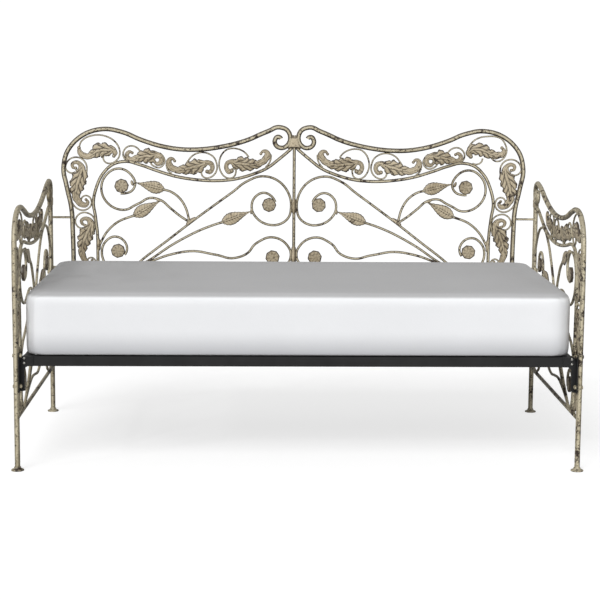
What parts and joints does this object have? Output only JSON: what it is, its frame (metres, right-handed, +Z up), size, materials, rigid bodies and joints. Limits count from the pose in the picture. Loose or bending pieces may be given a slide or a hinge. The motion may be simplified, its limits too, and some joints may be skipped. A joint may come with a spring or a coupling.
{
  "type": "daybed",
  "caption": "Wrought metal daybed with scrolled back and arms, acanthus borders, leaf sprays, a link spring deck and a lift-off twin mattress.",
  "frame": {"origin": "on the floor under the middle of the bed: bottom centre of the bounding box", "axes": "+X along the length of the bed, +Y from the open front towards the back, +Z up"},
  "size_m": [2.017, 1.0668, 1.1777],
  "materials": {
    "antique_casting": "distressed antique tan paint rubbed to dark brown, satin",
    "antique_paint": "distressed antique cream paint with dark wear, satin",
    "black_enamel": "near black enamel, satin",
    "spring_steel": "zinc plated, satin",
    "rivet_steel": "plain steel, satin",
    "bolt_steel": "painted over with the frame, satin",
    "mattress_cloth": "smooth matt woven cover"
  },
  "bodies": {
    "frame": {"arm_acanthus_leaves_left": "antique_casting", "arm_acanthus_leaves_right": "antique_casting", "arm_border_scrolls_left": "antique_paint", "arm_border_scrolls_right": "antique_paint", "arm_bottom_bar_left": "antique_paint", "arm_bottom_bar_right": "antique_paint", "arm_branch_scroll_left": "antique_paint", "arm_branch_scroll_right": "antique_paint", "arm_corner_scroll_left": "antique_paint", "arm_corner_scroll_right": "antique_paint", "arm_inner_rod_left": "antique_paint", "arm_inner_rod_right": "antique_paint", "arm_leaf_sprays_left": "antique_casting", "arm_leaf_sprays_right": "antique_casting", "arm_main_scroll_left": "antique_paint", "arm_main_scroll_right": "antique_paint", "arm_outer_rod_left": "antique_paint", "arm_outer_rod_right": "antique_paint", "arm_rear_leg_left": "antique_paint", "arm_rear_leg_right": "antique_paint", "arm_rosettes": "antique_casting", "arm_wave_scroll_left": "antique_paint", "arm_wave_scroll_right": "antique_paint", "back_acanthus_leaves_left": "antique_casting", "back_acanthus_leaves_right": "antique_casting", "back_border_scrolls_left": "antique_paint", "back_border_scrolls_right": "antique_paint", "back_bottom_bar": "antique_paint", "back_branch_scroll_left": "antique_paint", "back_branch_scroll_right": "antique_paint", "back_centre_post": "antique_paint", "back_connector_rods": "antique_paint", "back_corner_scroll_left": "antique_paint", "back_corner_scroll_right": "antique_paint", "back_inner_rod_left": "antique_paint", "back_inner_rod_right": "antique_paint", "back_leaf_sprays_left": "antique_casting", "back_leaf_sprays_right": "antique_casting", "back_main_scroll_left": "antique_paint", "back_main_scroll_right": "antique_paint", "back_outer_rod_left": "antique_paint", "back_outer_rod_right": "antique_paint", "back_rosettes": "antique_casting", "back_wave_scroll_left": "antique_paint", "back_wave_scroll_right": "antique_paint", "crest_collars": "antique_casting", "deck_corner_brackets": "black_enamel", "deck_end_rail_left": "black_enamel", "deck_end_rail_right": "black_enamel", "deck_front_rail": "black_enamel", "deck_link_wires": "spring_steel", "deck_rear_rail": "black_enamel", "deck_rivets": "rivet_steel", "deck_springs": "spring_steel", "feet": "antique_paint", "frame_bolts": "bolt_steel", "lower_back_bracket_left": "antique_paint", "lower_back_bracket_right": "antique_paint"},
    "mattress": {"mattress": "mattress_cloth"}
  },
  "joints": [
    {"name": "mattress_lift", "type": "slide", "parent": "frame", "child": "mattress", "axis": [0, 0, 1], "range_m": [0, 0.8]}
  ]
}
